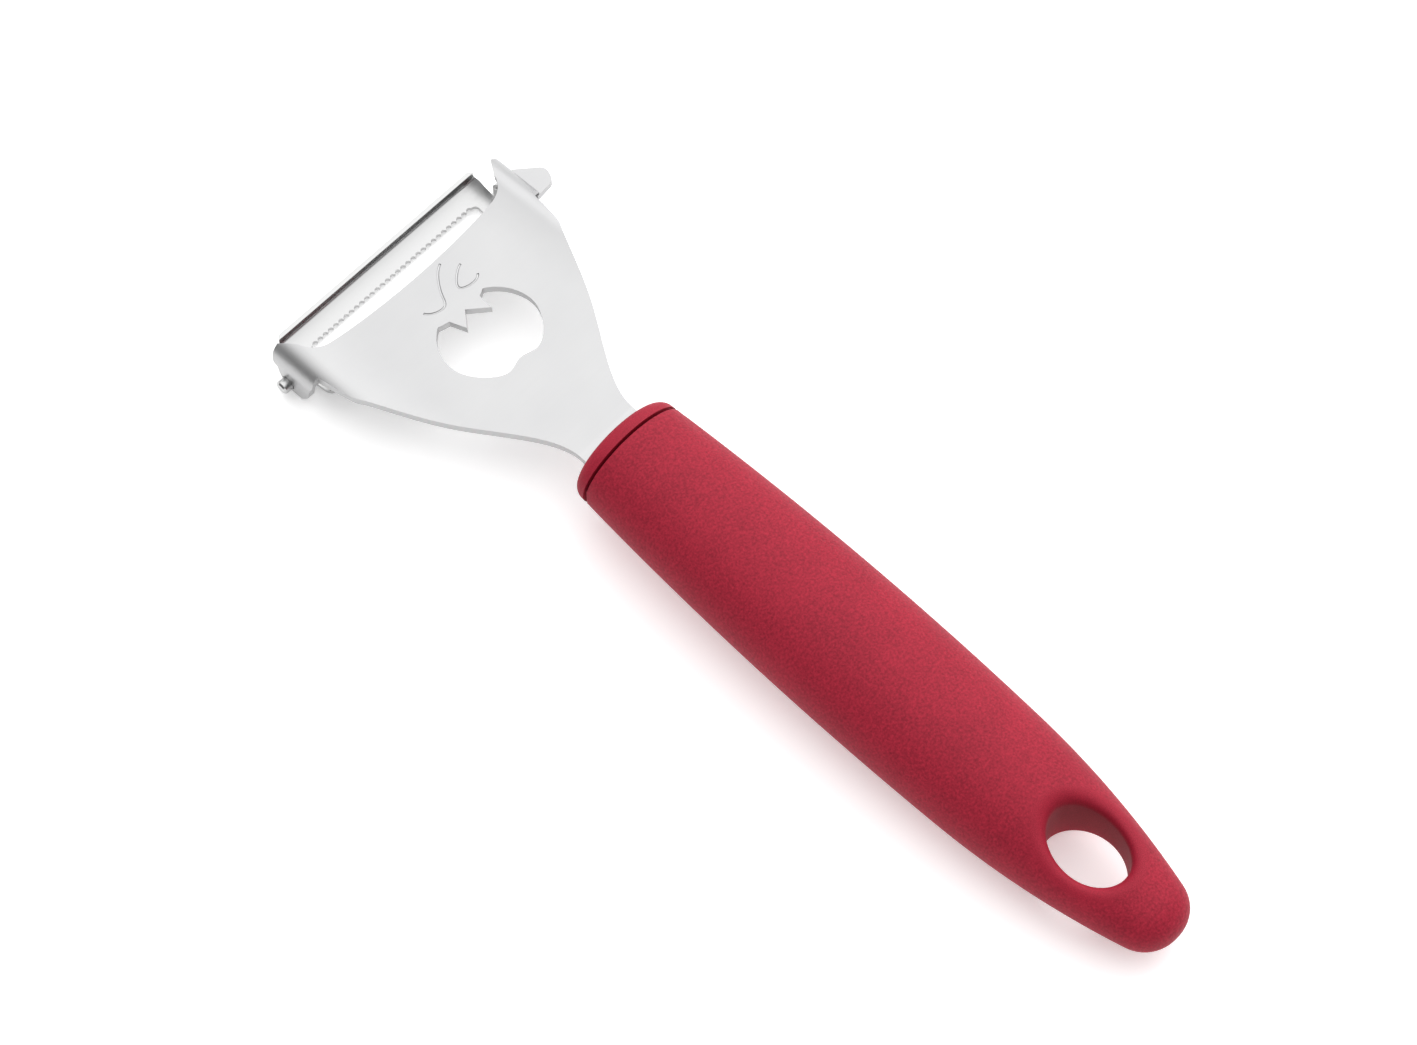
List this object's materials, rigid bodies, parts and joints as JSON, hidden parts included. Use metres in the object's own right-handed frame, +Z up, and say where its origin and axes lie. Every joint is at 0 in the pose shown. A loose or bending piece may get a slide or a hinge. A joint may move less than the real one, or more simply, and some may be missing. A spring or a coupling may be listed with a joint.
{
  "type": "swivel-blade hand peeler",
  "caption": "Y-pattern hand peeler: swivelling serrated blade between the ears of a flat steel head, on a soft oval handle with a hanging hole.",
  "frame": {"origin": "on the resting surface, under the middle of the whole tool's box", "axes": "+Y from the handle to the blade, +X across the head towards the stalk remover, +Z up away from the resting surface"},
  "size_m": [0.059, 0.1808, 0.0196],
  "materials": {
    "satin_steel": "fine satin, brushed",
    "bright_steel": "polished",
    "soft_skin": "matt soft-touch, fine speckle",
    "liner_plastic": "smooth satin",
    "core_plastic": "plain moulded"
  },
  "bodies": {
    "handle_and_head": {"head_plate": "satin_steel", "handle_core": "core_plastic", "grip_skin": "soft_skin", "front_collar": "soft_skin", "hanging_hole_liner": "liner_plastic", "tang_pins": "satin_steel"},
    "blade": {"peeling_blade": "bright_steel", "pivot_pin_left": "bright_steel", "pivot_pin_right": "bright_steel"}
  },
  "joints": [
    {"name": "blade_swivel", "type": "hinge", "parent": "handle_and_head", "child": "blade", "pos_m": [-0.0012, 0.08336, 0.00252], "axis": [1, 0, 0], "range_deg": [-30, 30]}
  ]
}
